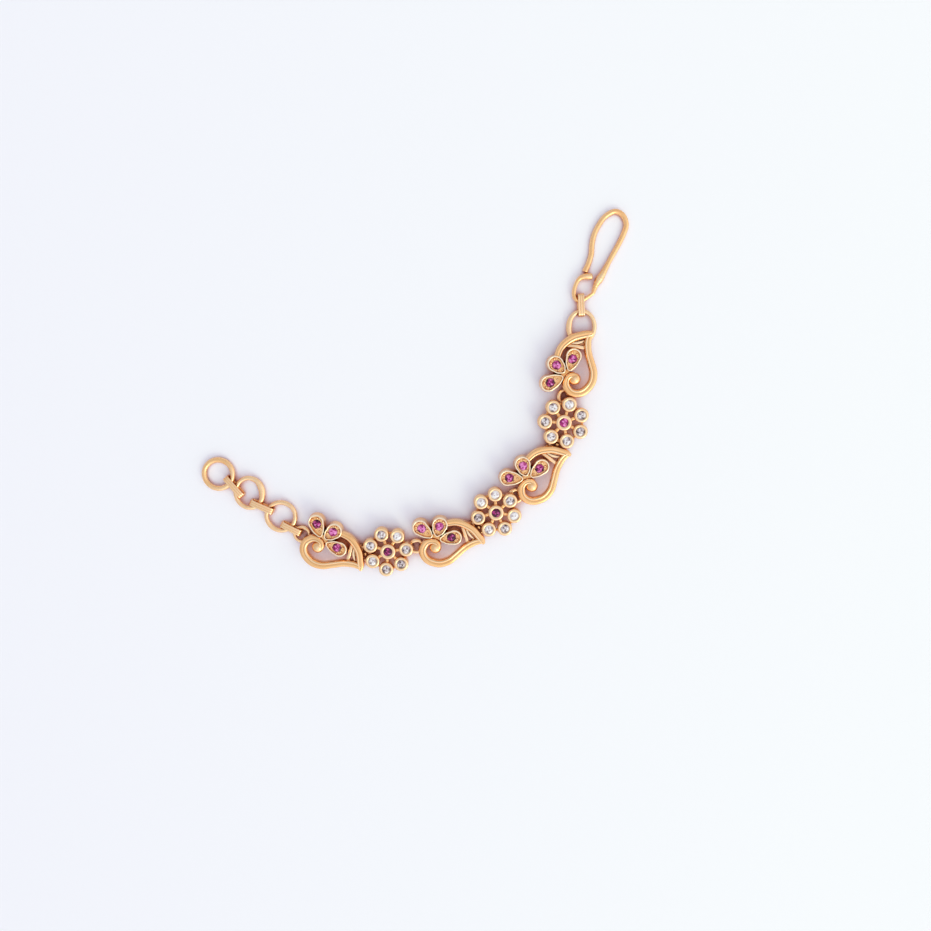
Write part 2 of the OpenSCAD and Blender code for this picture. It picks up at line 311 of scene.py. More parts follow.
def markWearAndSheen(bm, shine):
    # a vertex painted with groove shade already stays so
    layer = bm.verts.layers.float.get("worn") or bm.verts.layers.float.new("worn")
    top = max(vert.co.z for vert in bm.verts)
    for vert in bm.verts:
        if vert[layer] < 0:
            continue
        tightest = 0
        for edge in vert.link_edges:
            if len(edge.link_faces) != 2:
                continue
            one, two = (face.calc_center_median() for face in edge.link_faces)
            across = (one - two).length
            if across > wearAndSheen["closest"]:
                tightest = max(tightest, edge.calc_face_angle_signed(0) / across)
        below = top - vert.co.z
        sharp = shareOf(tightest, wearAndSheen["from"], wearAndSheen["to"]) * max(1 - below / wearAndSheen["depth"], 0)
        crest = shareOf(below, wearAndSheen["crest"], wearAndSheen["crestFull"])
        vert[layer] = max(shine * max(sharp, crest), vert[layer])


def finishPiece(bm, name, slotName, material, nodes, sharpAngle=38, shine=1.0):
    bmesh.ops.recalc_face_normals(bm, faces=bm.faces)
    if slotName == "gold":
        markWearAndSheen(bm, shine)
    bmesh.ops.scale(bm, vec=(mm, mm, mm), verts=bm.verts)
    mesh = bpy.data.meshes.new(name)
    bm.to_mesh(mesh)
    bm.free()
    mesh.materials.append(material)
    mesh.shade_smooth()
    mesh.set_sharp_from_angle(angle=math.radians(sharpAngle))
    piece = bpy.data.objects.new(name, mesh)
    bpy.context.scene.collection.objects.link(piece)
    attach(piece, "root")
    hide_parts(*nodes)


def middle(node):
    low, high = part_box(node)
    return (low + high) / 2 / mm


def smoothRows(rows, steps):
    # more rows of numbers, on a smooth curve through the given ones
    made = []
    for i in range(len(rows) - 1):
        a, b, c, d = (rows[min(max(k, 0), len(rows) - 1)] for k in (i - 1, i, i + 1, i + 2))
        for k in range(steps):
            t = k / steps
            made.append([0.5 * (2 * q + (r - p) * t + (2 * p - 5 * q + 4 * r - s) * t * t
                                + (3 * q - 3 * r + s - p) * t ** 3) for p, q, r, s in zip(a, b, c, d)])
    return made + [list(rows[-1])]


def crossFrame(at, ahead, halfWidth, halfHeight, side=None):
    # where an outline stands on a path: its place, the way it faces and its half sizes
    side = side or ahead.cross(zUp).normalized()
    up = side.cross(ahead).normalized()
    turned = Matrix((side * halfWidth, up * halfHeight, ahead.normalized())).transposed().to_4x4()
    return Matrix.Translation(at) @ turned


def pathFrames(points, halves, closed=False, side=None):
    # one frame for each point of a path, facing the way the path goes there
    frames, last = [], len(points) - 1
    for i, (at, half) in enumerate(zip(points, halves)):
        before = points[(i - 1) % len(points)] if closed else points[max(i - 1, 0)]
        after = points[(i + 1) % len(points)] if closed else points[min(i + 1, last)]
        frames.append(crossFrame(at, after - before, half[0], half[1], side))
    return frames


def edgesOf(verts):
    return list(dict.fromkeys(edge for vert in verts for edge in vert.link_edges))


weldReach = 0.0005    # mm


def sweep(bm, section, frames, closed=False):
    # drags one outline through the frames by extruding its edges; a third value in a point is its polish and
    # painted sheen, or its painted groove shade where it is below 0
    polishAndSheen = bm.verts.layers.float.get("worn")
    verts = bmesh.ops.create_circle(bm, segments=len(section), radius=1)["verts"]
    for vert, point in zip(verts, section):
        vert.co = Vector((point[0], point[1], 0))
        if len(point) > 2:
            vert[polishAndSheen] = point[2]
    bmesh.ops.transform(bm, matrix=frames[0], verts=verts)
    everyVert = list(verts)
    edges = firstEdges = edgesOf(verts)
    path = frames + [frames[0]] if closed else frames
    for before, after in zip(path, path[1:]):
        grown = bmesh.ops.extrude_edge_only(bm, edges=edges)["geom"]
        verts = [g for g in grown if isinstance(g, bmesh.types.BMVert)]
        bmesh.ops.transform(bm, matrix=after @ before.inverted(), verts=verts)
        fresh = set(verts)
        edges = [g for g in grown if isinstance(g, bmesh.types.BMEdge) and fresh.issuperset(g.verts)]
        everyVert += verts
    if closed:
        bmesh.ops.remove_doubles(bm, verts=everyVert, dist=weldReach)
    else:
        for rim in (firstEdges, edges):
            bmesh.ops.edgeloop_fill(bm, edges=rim)


def roundSection(sides):
    return [(math.cos(2 * math.pi * k / sides), math.sin(2 * math.pi * k / sides)) for k in range(sides)]


def spinProfile(bm, at, profile, steps):
    # turns a closed outline of (radius, height) about an upright axis
    verts = [bm.verts.new((at[0] + r, at[1], z)) for r, z in profile]
    edges = [bm.edges.new((a, b)) for a, b in zip(verts, verts[1:] + verts[:1])]
    bmesh.ops.spin(bm, geom=verts + edges, cent=(at[0], at[1], 0), axis=(0, 0, 1), angle=2 * math.pi,
                   steps=steps, use_merge=True, use_normal_flip=False)


def addBlock(bm, matrix, size, bevel=0.06, segments=2, polishAndSheen=0.0):
    verts = bmesh.ops.create_cube(bm, size=1, matrix=matrix @ Matrix.Diagonal((*size, 1)))["verts"]
    rounded = bmesh.ops.bevel(bm, geom=edgesOf(verts), offset=bevel, affect="EDGES", segments=segments,
                              profile=0.5, material=-1)["verts"]
    if polishAndSheen:
        # only the top face gets polish and painted sheen
        layer = bm.verts.layers.float["worn"]
        top = max(vert.co.z for vert in rounded)
        for vert in rounded:
            if vert.co.z > top - bevel:
                vert[layer] = polishAndSheen


# Paisleys

paisley = {
    "base": 1.5,
    "reach": (1, 1, 1, 0.955),   # how far out each one's tip is, as a share
    # apex u, apex v, direction, reach to the round end, its radius, place of the ruby
    "petals": ((-0.65, 2.35, 137, 3.45, 1.75, 3.0), (0.3, 2.4, 69, 2.75, 1.75, 2.35),
               (0.95, 1.7, 4, 3.3, 1.68, 2.65)),
    "petalTop": 3.6,
    "petalFloor": 2.95,
    "rim": 0.37,
    # inset and depth below the top, over the rolled rim
    "rolled": ((0, 0.18), (0.03, 0.08), (0.09, 0.02), (0.18, 0), (0.27, 0.015), (0.33, 0.07), (0.36, 0.18)),
    "rimFoot": 0.04,      # how much further in the rim meets the floor
    "foot": 0.2,          # how far the wall spreads at its foot
    "ankle": (0.85, 0.35),   # share of that spread, and how high over the foot
    "neck": 0.45,         # below the top, where the wall doesn't spread any more
    "apexR": 0.68,
    "apexInset": 0.8,     # share of an inset that the apex takes
    "bulge": 0.2,         # how far a petal's flanks swell out
    "arcSteps": (26, 8),  # round the end and round the apex
    "flankSteps": 5,
    "seatR": 1.0,
    "drillR": 0.74,
    "seatDepths": (0.35, 0.4),   # of the seat's wall and of the drilled hole's start, below the floor
    "seatSides": 24,
    # grains round a ruby: turn from the petal's direction, distance from the ruby, radius
    "grains": ((-68, 1.25, 0.26), (-24, 1.32, 0.34), (24, 1.32, 0.34), (68, 1.25, 0.26), (150, 1.24, 0.25),
               (205, 1.24, 0.25), (180, 1.75, 0.25)),
    "grainWidth": 0.85,   # as a share of its length
    "grainHeight": 0.34,
    "grainLift": 0.02,
    # u, v, half width, top
    "arc": ((2.6, 4.97, 0.74, 3.1), (4.7, 5.1, 0.8, 3.1), (6.5, 4.55, 0.84, 3.1), (8.3, 3.35, 0.85, 3.1),
            (9.62, 1.65, 0.87, 3.1), (10.3, 0.55, 0.78, 3.1), (10.74, -0.2, 0.36, 3.05)),
    "scroll": ((10.72, 0.12, 0.36, 3.05), (9.72, 0.38, 0.66, 3.1), (8.4, 0.16, 0.78, 3.1),
               (6.4, -0.78, 0.8, 3.1), (4.42, -2.28, 0.84, 3.1), (2.62, -3.54, 0.88, 3.1),
               (0.44, -4.0, 0.9, 3.1), (-1.68, -3.32, 0.91, 3.1), (-2.82, -2.1, 0.89, 3.1),
               (-3.06, -0.5, 0.9, 3.1), (-2.15, 0.92, 0.84, 3.1), (-0.95, 1.34, 0.74, 3.2),
               (0.0, 1.1, 0.74, 3.25), (0.42, 0.5, 0.72, 3.25), (0.4, -0.2, 0.7, 3.2), (0.1, -0.9, 0.6, 3.1),
               (-0.1, -1.2, 0.35, 3.0)),
    # the rounded end of the scroll: u, v and height of its middle, and its half sizes
    "lobe": (-0.15, -0.25, 2.3, 1.33, 1.36, 1.12),
    # across, up, and polish with painted sheen (painted groove shade below 0), from the outer foot over a
    # broad ridge, a groove painted darker and a narrow inner ridge painted lighter
    "section": ((-1, -1), (-1, 0.12), (-0.97, 0.4), (-0.89, 0.64), (-0.75, 0.82), (-0.55, 0.925),
                (-0.32, 0.96), (-0.1, 0.94), (0.06, 0.9, -0.2), (0.15, 0.885, -0.65), (0.23, 0.905, -0.3),
                (0.32, 0.965, 0.1), (0.42, 1.0, 0.75), (0.55, 0.965, 0.3), (0.69, 0.88), (0.82, 0.74),
                (0.92, 0.55), (0.98, 0.3), (1, 0), (1, -1)),
    "stepsPerRow": 7,
    # a stay inside the tip, beside the arc: u, v, half width, top
    "stay": ((6.95, 3.5, 0.14, 2.2), (7.2, 2.85, 0.24, 2.25), (7.5, 2.2, 0.31, 2.28),
             (7.92, 1.62, 0.27, 2.25), (8.6, 0.9, 0.14, 2.2)),
    "stayFoot": 1.62,
    # across, up, and polish with painted sheen along the stay's top
    "staySection": ((-1, -1), (-1, 0.6), (-0.8, 0.9, 0.4), (-0.4, 1, 0.6), (0.4, 1, 0.6), (0.8, 0.9, 0.4),
                    (1, 0.6), (1, -1)),
    # the bar across the tip: u, v and height over the base of its middle, its size, turn, bevel, and polish
    # with painted sheen on its top
    "bar": ((6.68, 2.0, 0.45), (0.8, 5.2, 0.7), 14, 0.2, 0.45),
    # the stub where the petals meet: u, v, and radius and height round its wall
    "stub": ((0.15, 2.05), ((0.05, 1.5), (0.95, 1.5), (0.95, 2.6), (0.05, 2.6))),
    "stubSteps": 20,
    # bails at the round end and at the tip of each: u, v, turn, opening
    "bail": (-3.15, -0.36, -15, 0.9),
    "tipBails": ((8.36, 3.99, 132, 0.9),) * 3 + ((7.86, 3.73, 147, 1.26),),
}


def rubySpot(row):
    u, v, way, _, _, rubyAt = row
    return Vector((u, v, 0)) + along(way) * rubyAt


def paisleyPlace(index):
    # the petal rubies of the frame say where the paisley stands and how it is turned
    first, last = (rubySpot(paisley["petals"][k]) for k in (0, 2))
    there, beyond = (middle(f"petal_ruby_{3 * index + k}") for k in (1, 3))
    there.z = beyond.z = 0
    turn = (last - first).xy.angle_signed((beyond - there).xy)
    turning = Matrix.Rotation(-turn, 4, "Z")
    return Matrix.Translation(there - turning @ first) @ turning


def bandFrames(rows, reach, foot):
    drawn = [(u * reach if u > 0 else u, v, half, top) for u, v, half, top in rows]
    path = smoothRows(drawn, paisley["stepsPerRow"])
    tall = [(top - foot) / 2 for _, _, _, top in path]
    points = [Vector((u, v, 0)) for u, v, _, _ in path]
    frames = pathFrames(points, [(row[2], half) for row, half in zip(path, tall)])
    return [Matrix.Translation((0, 0, foot + half)) @ frame for frame, half in zip(frames, tall)]


def arcPoints(centre, radius, start, span, steps):
    return [centre + radius * along(start + k * span / steps) for k in range(steps + 1)]


def petalOutline(bm, row, inset, height):
    # a teardrop: two arcs, at the apex and at the round end, joined by flanks that swell a little
    u, v, way, length, endR, _ = row
    small, big = paisley["apexR"] - inset * paisley["apexInset"], endR - inset
    apex = Vector((u, v, 0)) + along(way) * paisley["apexR"]
    end = Vector((u, v, 0)) + along(way) * length
    spread = math.degrees(math.acos((big - small) / (end - apex).length))
    endSteps, apexSteps = paisley["arcSteps"]
    points = arcPoints(end, big, way - 180 + spread, 360 - 2 * spread, endSteps)
    narrow = arcPoints(apex, small, way + 180 - spread, 2 * spread, apexSteps)
    flank = paisley["flankSteps"]
    for turn, there, then in ((180 - spread, narrow[0], narrow), (180 + spread, points[0], [])):
        here = points[-1]
        for k in range(1, flank + 1):
            share = k / (flank + 1)
            swell = paisley["bulge"] * math.sin(math.pi * share)
            points.append(here.lerp(there, share) + along(way + turn) * swell)
        points += then
    verts = bmesh.ops.create_circle(bm, segments=len(points), radius=1)["verts"]
    for vert, point in zip(verts, points):
        vert.co = point + zUp * height
    return edgesOf(verts)


def bridgeLoops(bm, loops):
    for lower, upper in zip(loops, loops[1:]):
        bmesh.ops.bridge_loops(bm, edges=lower + upper)


def addPetal(bm, row):
    base, top, floor = paisley["base"], paisley["petalTop"], paisley["petalFloor"]
    foot, (ankle, ankleUp) = paisley["foot"], paisley["ankle"]
    outline = [(-foot, base), (-foot * ankle, base + ankleUp), (0, top - paisley["neck"])]
    outline += [(inset, top - depth) for inset, depth in paisley["rolled"]]
    outline.append((paisley["rim"] + paisley["rimFoot"], floor))
    loops = [petalOutline(bm, row, inset, height) for inset, height in outline]
    bridgeLoops(bm, loops)
    way, hole = row[2], rubySpot(row)
    seatR, drillR = paisley["seatR"], paisley["drillR"]
    seatEnd, drillStart = (floor - depth for depth in paisley["seatDepths"])
    rings = []
    for radius, height in ((seatR, floor), (seatR, seatEnd), (drillR, drillStart), (drillR, base)):
        ring = bmesh.ops.create_circle(bm, segments=paisley["seatSides"], radius=radius,
                                       matrix=Matrix.Translation(hole + zUp * height))["verts"]
        rings.append(edgesOf(ring))
    bridgeLoops(bm, rings)
    bmesh.ops.triangle_fill(bm, use_beauty=True, edges=loops[-1] + rings[0])
    bmesh.ops.triangle_fill(bm, use_beauty=True, edges=loops[0] + rings[-1])
    for turn, away, radius in paisley["grains"]:
        spot = hole + along(way + turn) * away + zUp * (floor + paisley["grainLift"])
        shape = Matrix.Translation(spot) @ rotation(way + turn)
        halves = (radius, radius * paisley["grainWidth"], paisley["grainHeight"], 1)
        bmesh.ops.create_icosphere(bm, subdivisions=2, radius=1, matrix=shape @ Matrix.Diagonal(halves))


# Bails: strip bent into a window under the end of a motif

bail = {
    "width": 0.6,
    "strip": 0.4,
    "into": 0.45,     # how far it goes up into the motif
}


def addBail(bm, at, turn, opening):
    strip, width = bail["strip"], bail["width"]
    length, top = opening + 2 * strip, paisley["base"] + bail["into"]
    place = Matrix.Translation((at[0], at[1], 0)) @ rotation(turn)
    for x in (-1, 1):
        aside = Matrix.Translation((x * (length - strip) / 2, 0, top / 2))
        addBlock(bm, place @ aside, (strip, width, top))
    addBlock(bm, place @ Matrix.Translation((0, 0, strip / 2)), (length, width, strip))


def makePaisley(index):
    bm = bmesh.new()
    bm.verts.layers.float.new("worn")
    reach, base = paisley["reach"][index], paisley["base"]
    for line in ("arc", "scroll"):
        sweep(bm, paisley["section"], bandFrames(paisley[line], reach, base))
    sweep(bm, paisley["staySection"], bandFrames(paisley["stay"], reach, paisley["stayFoot"]))
    for row in paisley["petals"]:
        addPetal(bm, row)
    lobe = paisley["lobe"]
    bmesh.ops.create_icosphere(bm, subdivisions=4, radius=1,
                               matrix=Matrix.Translation(lobe[:3]) @ Matrix.Diagonal((*lobe[3:], 1)))
    (u, v, height), size, lean, bevel, polishAndSheen = paisley["bar"]
    place = Matrix.Translation((u * reach, v, base + height)) @ rotation(lean)
    addBlock(bm, place, size, bevel, segments=3, polishAndSheen=polishAndSheen)
    spinProfile(bm, *paisley["stub"], paisley["stubSteps"])
    for u, v, turn, opening in (paisley["bail"], paisley["tipBails"][index]):
        addBail(bm, (u, v), turn, opening)
    bmesh.ops.transform(bm, matrix=paisleyPlace(index), verts=bm.verts)
    finishPiece(bm, f"paisleyGold{index + 1}", "gold", goldPolish, [f"paisley_{index + 1}"])


for index in range(len(paisley["reach"])):
    makePaisley(index)
print("paisleys made")


# Jump rings

jumpRing = {
    "count": 7,
    "r": 1.4,
    "firstR": 1.65,       # of the first one, which is wider
    "wire": 0.35,
    "thinnest": 0.95,     # share of the wire that is left where it is worn most
    # every other ring is thicker on the side that shows: by how much, and over how many degrees
    "swell": 0.3,
    "swellSpread": 34,
    "steps": 48,
    "sides": 16,
    "seed": 300,
}


def makeJumpRing(k):
    count, wire = jumpRing["count"], jumpRing["wire"]
    spot = middle(f"jump_ring_{k + 1}")
    back, ahead = (middle(f"jump_ring_{min(max(j, 1), count)}") for j in (k, k + 2))
    shown = math.degrees(math.atan2(ahead.y - back.y, ahead.x - back.x)) + 90
    r = jumpRing["r"] if k else jumpRing["firstR"]
    most = 0 if k % 2 else jumpRing["swell"]
    draw = random.Random(jumpRing["seed"] + k)
    points, halves = [], []
    for step in range(jumpRing["steps"]):
        turn = 360 * step / jumpRing["steps"]
        swell = most * nearness(turn, shown, jumpRing["swellSpread"])
        points.append(spot + (r - wire * swell) * along(turn))
        halves.append((wire * (draw.uniform(jumpRing["thinnest"], 1.0) + swell), wire))
    bm = bmesh.new()
    sweep(bm, roundSection(jumpRing["sides"]), pathFrames(points, halves, closed=True), closed=True)
    finishPiece(bm, f"jumpRing{k + 1}", "gold", goldWire, [f"jump_ring_{k + 1}"], shine=wearAndSheen["onWire"])


for k in range(jumpRing["count"]):
    makeJumpRing(k)
print("jump rings made")


# Flowers

flower = {
    "count": 3,
    "base": 1.5,
    "collets": 7,
    # radius and height round the wall of an outer collet
    "profile": ((0.76, 1.5), (1.65, 1.5), (1.65, 2.78), (1.63, 2.93), (1.57, 3.05), (1.48, 3.14),
                (1.36, 3.2), (1.23, 3.22), (1.12, 3.2), (1.03, 3.15), (0.96, 3.08), (1.04, 3.03),
                (1.06, 2.6), (0.76, 2.45)),
    "colletSteps": 32,
    # the middle collet's profile is wider beyond a radius, and higher above a height
    "wider": (1.2, 0.13),
    "higher": (2, 0.1),
    # spokes: height of the hub over the base, middle of a spoke from there, its size and bevel
    "hub": 0.6,
    "spokeAt": (2.0, 0, 0.1),
    "spokeSize": (1.6, 0.72, 1.0),
    "spokeBevel": 0.2,
    # radius and height round the low ring that joins the outer collets
    "bridge": ((3.75, 1.65), (4.3, 1.65), (4.3, 2.1), (3.75, 2.1)),
    "bridgeSteps": 56,
    "bailPlay": 0.2,      # room for a jump ring's wire in a bail
}


def makeFlower(index):
    bm = bmesh.new()
    centre = middle(f"flower_ruby_{index + 1}")
    collets = flower["collets"]
    spots = [middle(f"clear_stone_{collets * index + k + 1}") for k in range(collets)]
    for spot in spots:
        spinProfile(bm, spot, flower["profile"], flower["colletSteps"])
    (fromR, wider), (fromZ, higher) = flower["wider"], flower["higher"]
    raised = [(r + wider if r > fromR else r, z + higher if z > fromZ else z) for r, z in flower["profile"]]
    spinProfile(bm, centre, raised, flower["colletSteps"])
    hub = Matrix.Translation((centre.x, centre.y, flower["base"] + flower["hub"]))
    for spot in spots:
        out = spot - centre
        place = hub @ Matrix.Rotation(math.atan2(out.y, out.x), 4, "Z")
        spoke = place @ Matrix.Translation(flower["spokeAt"])
        addBlock(bm, spoke, flower["spokeSize"], flower["spokeBevel"], segments=3)
    spinProfile(bm, centre, flower["bridge"], flower["bridgeSteps"])
    # a bail for the jump ring on either side
    for k in (2 * index + 2, 2 * index + 3):
        toRing = (middle(f"jump_ring_{k}") - centre).xy
        at = centre.xy + toRing * (1 - jumpRing["r"] / toRing.length)
        opening = 2 * jumpRing["wire"] + flower["bailPlay"]
        addBail(bm, at, math.degrees(math.atan2(toRing.y, toRing.x)), opening)
    node = f"flower_{index + 1}"
    finishPiece(bm, f"flowerGold{index + 1}", "gold", goldPolish, [node], shine=wearAndSheen["onFlower"])


for index in range(flower["count"]):
    makeFlower(index)
print("flowers made")


# Cut stones

cut = {
    # as shares of the stone's radius
    "table": 0.56,
    "crown": 0.32,
    "starR": 0.8,
    "girdle": 0.05,
    "lowerR": 0.3,
    "pavilion": 0.82,
    "tableRim": 0.17,     # width of the ring of facets round the table's middle
    "sides": 8,
    "flat": 1.5,          # degrees under which two facets are one
    "sharp": 2,           # degrees over which an edge stays hard
    # painted light and dark that sweep round a stone: size, times round, twist from the middle outwards
    "sweeps": ((0.34, 2, 4), (0.3, 3, -5)),
    "sweepStart": 6.3,    # most turn in radians at which one starts
    "spread": 0.2,        # of the tones of single facets
    "darkFrom": 0.6,      # how far out the facets start to get darker towards the edge
}

# tones are the painted brightness of each stone from 0 to 1, in the order of the nodes; edgeDark is how much
# darker the facets are painted towards the edge
stoneSets = {
    "clearStone": {
        "nodes": "clear_stone", "radius": 1.0, "girdleZ": 2.95, "material": clearStone,
        "slot": "clear_stone", "seed": 40, "edgeDark": 0.2,
        "tones": (0.5, 0.95, 0.6, 0.6, 0.75, 0.45, 0.4, 0.6, 0.95, 0.9, 0.3, 0.75, 0.5, 1.0, 0.55, 0.9, 0.75,
                  0.5, 0.7, 0.65, 0.5),
    },
    "petalRuby": {
        "nodes": "petal_ruby", "radius": 0.95, "girdleZ": 2.97, "material": rubyStone,
        "slot": "ruby", "seed": 90, "edgeDark": 0.8,
        "tones": (0.35, 0.8, 0.5, 0.8, 0.75, 0.15, 0.5, 0.85, 0.45, 0.35, 0.7, 0.65),
    },
    "flowerRuby": {
        "nodes": "flower_ruby", "radius": 1.0, "girdleZ": 3.06, "material": rubyStone,
        "slot": "ruby", "seed": 120, "edgeDark": 0.8,
        "tones": (0.12, 0.1, 0.6),
    },
}


def ringOf(bm, radius, height, sides, turn):
    matrix = Matrix.Translation((0, 0, height)) @ rotation(turn)
    bmesh.ops.create_circle(bm, segments=sides, radius=radius, matrix=matrix)


def cutStone(bm):
    # a stone of radius 1: table, crown and pavilion round a girdle, as the hull of its rings of corners
    sides = cut["sides"]
    halfTurn = 180 / sides
    half = math.cos(math.radians(halfTurn))
    crownSlope = (cut["crown"] - cut["girdle"]) / (1 - cut["table"])
    starZ = cut["crown"] - crownSlope * (cut["starR"] * half - cut["table"])
    lowerZ = -cut["pavilion"] * (1 - cut["lowerR"] * half)
    ringOf(bm, cut["table"], cut["crown"], sides, 0)
    ringOf(bm, cut["starR"], starZ, sides, halfTurn)
    ringOf(bm, 1, cut["girdle"], 2 * sides, 0)
    ringOf(bm, 1, 0, 2 * sides, 0)
    ringOf(bm, cut["lowerR"], lowerZ, sides, halfTurn)
    bm.verts.new((0, 0, -cut["pavilion"]))
    bmesh.ops.convex_hull(bm, input=bm.verts)
    loose = [edge for edge in bm.edges if not edge.link_faces]
    bmesh.ops.delete(bm, geom=loose, context="EDGES")
    bmesh.ops.dissolve_limit(bm, angle_limit=math.radians(cut["flat"]), verts=bm.verts, edges=bm.edges)
    flat = max(bm.faces, key=lambda face: face.calc_center_median().z)
    bmesh.ops.inset_region(bm, faces=[flat], thickness=cut["tableRim"], use_even_offset=True)
    flat = max(bm.faces, key=lambda face: (round(face.calc_center_median().z, 4), len(face.verts)))
    bmesh.ops.poke(bm, faces=[flat])


def makeStonePiece(name, node, kind, seed, tone):
    bm = bmesh.new()
    cutStone(bm)
    layer = bm.faces.layers.float.new("facet")
    draw = random.Random(seed)
    starts = [draw.uniform(0, cut["sweepStart"]) for _ in cut["sweeps"]]
    # painted reflections: each facet is painted by the stone's tone, the sweeps of light and dark and a
    # random share, and darker towards the edge
    for face in bm.faces:
        spot = face.calc_center_median()
        turn, out = math.atan2(spot.y, spot.x), spot.xy.length
        swing = sum(size * math.sin(times * turn + start + twist * out)
                    for (size, times, twist), start in zip(cut["sweeps"], starts))
        dark = kind["edgeDark"] * max(out - cut["darkFrom"], 0)
        face[layer] = min(max(tone + swing + draw.uniform(-cut["spread"], cut["spread"]) - dark, 0), 1)
    spin = Matrix.Rotation(draw.uniform(0, math.pi / 4), 4, "Z")
    at = middle(node)
    place = Matrix.Translation((at.x, at.y, kind["girdleZ"])) @ spin @ Matrix.Scale(kind["radius"], 4)
    bmesh.ops.transform(bm, verts=bm.verts, matrix=place)
    finishPiece(bm, name, kind["slot"], kind["material"], [node], sharpAngle=cut["sharp"])


for name, kind in stoneSets.items():
    for k, tone in enumerate(kind["tones"]):
        makeStonePiece(f"{name}{k + 1}", f"{kind['nodes']}_{k + 1}", kind, kind["seed"] + k, tone)
print("stones made")


# Extension rings and the oval ring

wireRings = {
    # half width, half height, wire radius, lean in degrees, thick arc as (middle, spread, extra width), and
    # how deep the turns of wire wound round that arc are
    "extension_ring_1": (3.22, 3.22, 0.56, 3.9, (95, 35, 0.1), 0),
    "extension_ring_2": (3.05, 3.37, 0.5, 0, (15, 42, 0.5), 0.025),
    "extension_ring_3": (3.22, 3.2, 0.5, 0, (225, 30, 0.12), 0),
    "oval_ring": (2.82, 3.37, 0.47, 0, (178, 32, 0.34), 0.06),
}
ringWire = {
    "steps": 144,
    "sides": 18,
    "leanWay": -40,
    "windings": 34,           # of wound wire, in a full round
    "growInward": 0.9,        # share of the thick arc's extra width that lies inside the ring
    # unevenness: dents in a full round, how weak one may be, then their size along, across and up
    "dents": (3, 5, 9, 14),
    "weakest": 0.5,
    "dentSizes": (0.006, 0.012, 0.01),
    "seed": 500,
}


def makeWireRing(node, row, seed):
    halfX, halfY, wire, lean, (place, spread, more), wound = row
    draw = random.Random(seed)
    waves = [(count, draw.uniform(0, 360), draw.uniform(ringWire["weakest"], 1))
             for count in ringWire["dents"]]
    dentIn, dentAcross, dentUp = ringWire["dentSizes"]
    points, halves = [], []
    for k in range(ringWire["steps"]):
        turn = 360 * k / ringWire["steps"]
        way = along(turn)
        near = nearness(turn, place, spread)
        extra = more * near + wound * near * math.sin(math.radians(ringWire["windings"] * turn))
        dent = sum(size * math.sin(math.radians(count * turn + phase)) for count, phase, size in waves)
        inward = more * near * wire * ringWire["growInward"] + dentIn * dent
        points.append(Vector(((halfX - inward) * way.x, (halfY - inward) * way.y, 0)))
        halves.append((wire * (1 + extra + dentAcross * dent), wire * (1 - dentUp * dent)))
    bm = bmesh.new()
    sweep(bm, roundSection(ringWire["sides"]), pathFrames(points, halves, closed=True), closed=True)
    tilt = rotation(ringWire["leanWay"]) @ rotation(-lean, "Y") @ rotation(-ringWire["leanWay"])
    bmesh.ops.transform(bm, matrix=Matrix.Translation(middle(node)) @ tilt, verts=bm.verts)
    first, *rest = node.split("_")
    name = first + "".join(word.capitalize() for word in rest)
    finishPiece(bm, name, "gold", goldWire, [node], shine=wearAndSheen["onWire"])


for k, (node, row) in enumerate(wireRings.items()):
    makeWireRing(node, row, ringWire["seed"] + k)
print("rings made")


# Strip links

stripLink = {
    # turn and outer length of each
    "rows": ((-50.3, 5.75), (-24.2, 5.7), (-26.7, 5.1), (93.3, 4.95)),
    "height": 2.05,
    "width": 1.35,
    "thick": 0.4,
    "corner": 0.75,
    "cornerSteps": 6,
    "edge": 0.07,             # how much of the strip's own corners is rounded off
    "edgeMiddle": 0.3,        # share of that at the middle of the rounding
    "lines": (0.36, -0.36),   # shares of the half width where the rolled lines run
    "line": 0.08,
    "lineDepth": 0.06,
    # the rolled lines are painted darker: painted shade
    "lineShade": -0.25,
}


def stripSection():
    wide, half = stripLink["width"] / 2, stripLink["thick"] / 2
    edge, line = stripLink["edge"], stripLink["line"]
    between = edge * stripLink["edgeMiddle"]
    rounding = ((0, edge), (between, between), (edge, 0))
    dip = ((line, 0, 0), (0, -stripLink["lineDepth"], stripLink["lineShade"]), (-line, 0, 0))
    section = []
    for x, y in ((1, 1), (-1, 1), (-1, -1), (1, -1)):
        section += [(x * (wide - dx), y * (half - dy)) for dx, dy in rounding[::x * y]]
        if (x, y) == (1, 1):
            section += [(spot * wide + dx, half + dy, grooveShade)
                        for spot in stripLink["lines"] for dx, dy, grooveShade in dip]
    return section


def makeStripLink(index):
    turn, length = stripLink["rows"][index]
    half = stripLink["thick"] / 2
    corner = stripLink["corner"] - half
    reachX, reachZ = length / 2 - half - corner, stripLink["height"] / 2 - half - corner
    points = []
    for signX, signZ, start in ((1, 1, 0), (-1, 1, 90), (-1, -1, 180), (1, -1, 270)):
        for k in range(stripLink["cornerSteps"] + 1):
            angle = math.radians(start + 90 * k / stripLink["cornerSteps"])
            points.append(Vector((signX * reachX + corner * math.cos(angle), 0,
                                  signZ * reachZ + corner * math.sin(angle))))
    bm = bmesh.new()
    bm.verts.layers.float.new("worn")
    frames = pathFrames(points, [(1, 1)] * len(points), closed=True, side=Vector((0, 1, 0)))
    sweep(bm, stripSection(), frames, closed=True)
    node = f"strip_link_{index + 1}"
    place = Matrix.Translation(middle(node)) @ rotation(turn)
    bmesh.ops.transform(bm, matrix=place, verts=bm.verts)
    finishPiece(bm, f"stripLink{index + 1}", "gold", goldStrip, [node], shine=wearAndSheen["onStrip"])


for index in range(len(stripLink["rows"])):
    makeStripLink(index)
print("strip links made")


# Ear hook

